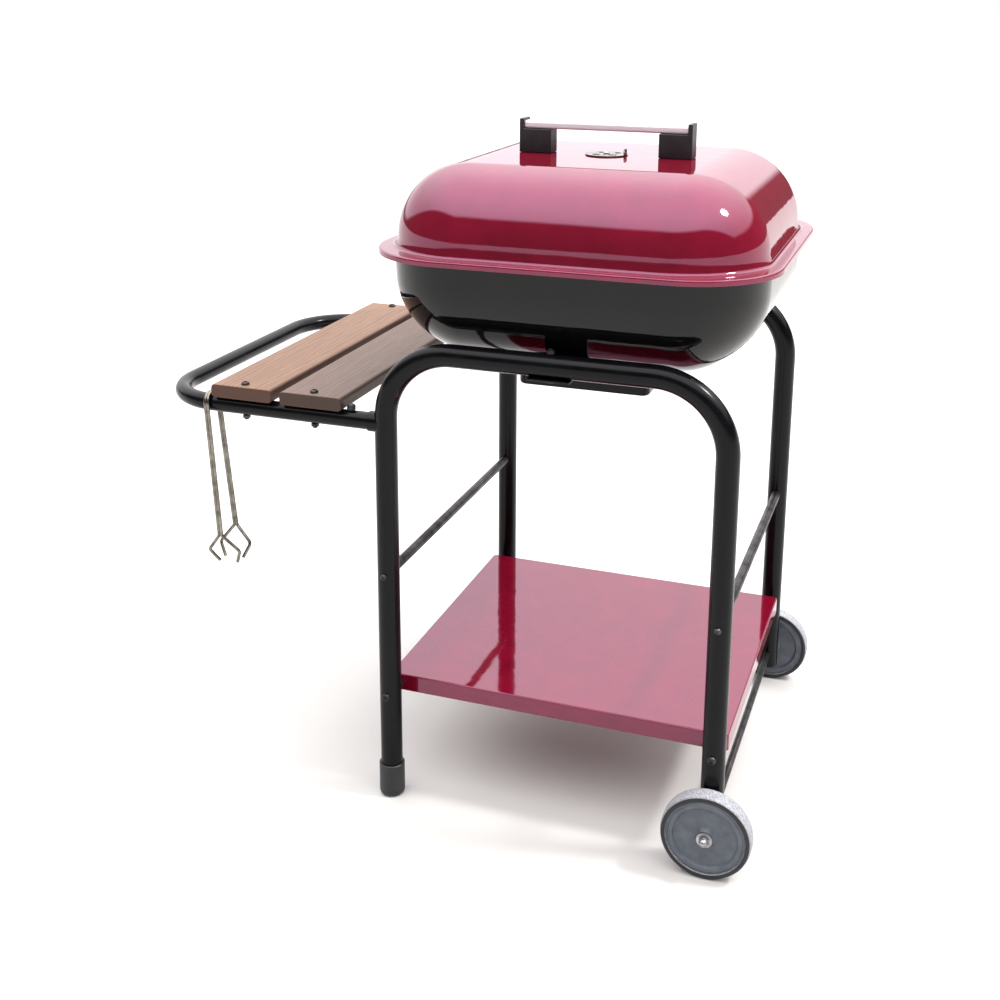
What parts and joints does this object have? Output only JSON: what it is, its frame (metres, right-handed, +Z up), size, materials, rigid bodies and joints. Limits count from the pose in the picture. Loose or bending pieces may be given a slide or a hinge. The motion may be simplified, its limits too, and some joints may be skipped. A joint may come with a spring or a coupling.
{
  "type": "charcoal barbecue grill",
  "caption": "Square kettle barbecue with a lift-off enamelled lid, on a bent-tube trolley with a bottom shelf, wheels, a slatted side table and hanging tongs.",
  "frame": {"origin": "on the ground, at the middle of the footprint of the whole object", "axes": "+X from the side table to the wheels, +Y from the cook to the back, +Z up"},
  "size_m": [0.925, 0.6328, 0.9888],
  "materials": {
    "black_paint": "gloss black powder coat on steel tube",
    "black_enamel": "mirror-gloss black porcelain enamel",
    "red_enamel": "gloss cherry-red porcelain enamel",
    "zinc": "zinc plate, bright on the nuts and dulled to dark grey on the long rods and screws",
    "chrome": "nickel-chrome plate",
    "aluminium": "satin aluminium",
    "black_plastic": "satin black moulding",
    "grey_plastic": "satin blue-grey moulding",
    "rubber": "black sidewalls, tread dusted light grey by use",
    "wood": "oiled tan hardwood with darker rounded edges"
  },
  "bodies": {
    "trolley": {"frame_front": "black_paint", "frame_back": "black_paint", "cradle_strap": "black_paint", "ash_rail_left": "black_paint", "ash_rail_right": "black_paint", "table_frame": "black_paint", "table_stub_front": "black_paint", "table_stub_back": "black_paint", "bowl": "black_enamel", "shelf": "red_enamel", "axle": "zinc", "axle_nut_front": "zinc", "axle_nut_back": "zinc", "cross_bar_left": "zinc", "cross_bar_right": "zinc", "cross_screw_front_left": "zinc", "cross_screw_front_right": "zinc", "cross_screw_back_left": "zinc", "cross_screw_back_right": "zinc", "shelf_bolt_front_left": "zinc", "shelf_bolt_front_right": "zinc", "shelf_bolt_back_left": "zinc", "shelf_bolt_back_right": "zinc", "bar_bolt_front": "zinc", "bar_bolt_back": "zinc", "bowl_bolt_front": "zinc", "bowl_bolt_back": "zinc", "slat_bolt_front_outer": "zinc", "slat_bolt_front_inner": "zinc", "slat_bolt_back_outer": "zinc", "slat_bolt_back_inner": "zinc", "foot_front": "black_plastic", "foot_back": "black_plastic", "shelf_spacer_front_left": "black_plastic", "shelf_spacer_front_right": "black_plastic", "shelf_spacer_back_left": "black_plastic", "shelf_spacer_back_right": "black_plastic", "slat_outer": "wood", "slat_inner": "wood"},
    "lid": {"lid": "red_enamel", "handle_bar": "aluminium", "handle_post_left": "black_plastic", "handle_post_right": "black_plastic", "handle_screw_left": "zinc", "handle_screw_right": "zinc", "damper_rivet": "zinc"},
    "lid_damper": {"lid_damper": "chrome"},
    "cooking_grate": {"cooking_grate": "chrome"},
    "charcoal_grate": {"charcoal_grate": "zinc"},
    "ash_pan": {"ash_pan": "black_paint"},
    "wheel_front": {"wheel_disc_front": "grey_plastic", "tyre_front": "rubber"},
    "wheel_back": {"wheel_disc_back": "grey_plastic", "tyre_back": "rubber"},
    "thumb_screw_front": {"thumb_screw_front": "black_plastic"},
    "thumb_screw_back": {"thumb_screw_back": "black_plastic"},
    "tongs": {"tongs": "chrome"}
  },
  "joints": [
    {"name": "lid_lift", "type": "slide", "parent": "trolley", "child": "lid", "axis": [0, 0, 1], "range_m": [0, 0.3]},
    {"name": "lid_damper_turn", "type": "hinge", "parent": "lid", "child": "lid_damper", "pos_m": [0.16, 0, 0.9405], "axis": [0, 0, 1], "range_deg": [0, 45]},
    {"name": "cooking_grate_lift", "type": "slide", "parent": "trolley", "child": "cooking_grate", "axis": [0, 0, 1], "range_m": [0, 0.02]},
    {"name": "charcoal_grate_lift", "type": "slide", "parent": "trolley", "child": "charcoal_grate", "axis": [0, 0, 1], "range_m": [0, 0.05]},
    {"name": "ash_pan_slide", "type": "slide", "parent": "trolley", "child": "ash_pan", "axis": [0, -1, 0], "range_m": [0, 0.15]},
    {"name": "wheel_front_spin", "type": "hinge", "parent": "trolley", "child": "wheel_front", "pos_m": [0.4, -0.289, 0.0625], "axis": [0, 1, 0], "continuous": true},
    {"name": "wheel_back_spin", "type": "hinge", "parent": "trolley", "child": "wheel_back", "pos_m": [0.4, 0.289, 0.0625], "axis": [0, 1, 0], "continuous": true},
    {"name": "thumb_screw_front_turn", "type": "hinge", "parent": "trolley", "child": "thumb_screw_front", "pos_m": [-0.133, -0.258, 0.5955], "axis": [0, 0, 1], "range_deg": [0, 360]},
    {"name": "thumb_screw_back_turn", "type": "hinge", "parent": "trolley", "child": "thumb_screw_back", "pos_m": [-0.133, 0.258, 0.5955], "axis": [0, 0, 1], "range_deg": [0, 360]},
    {"name": "tongs_swing", "type": "hinge", "parent": "trolley", "child": "tongs", "pos_m": [-0.3585, -0.258, 0.583], "axis": [1, 0, 0], "range_deg": [-15, 15]}
  ]
}
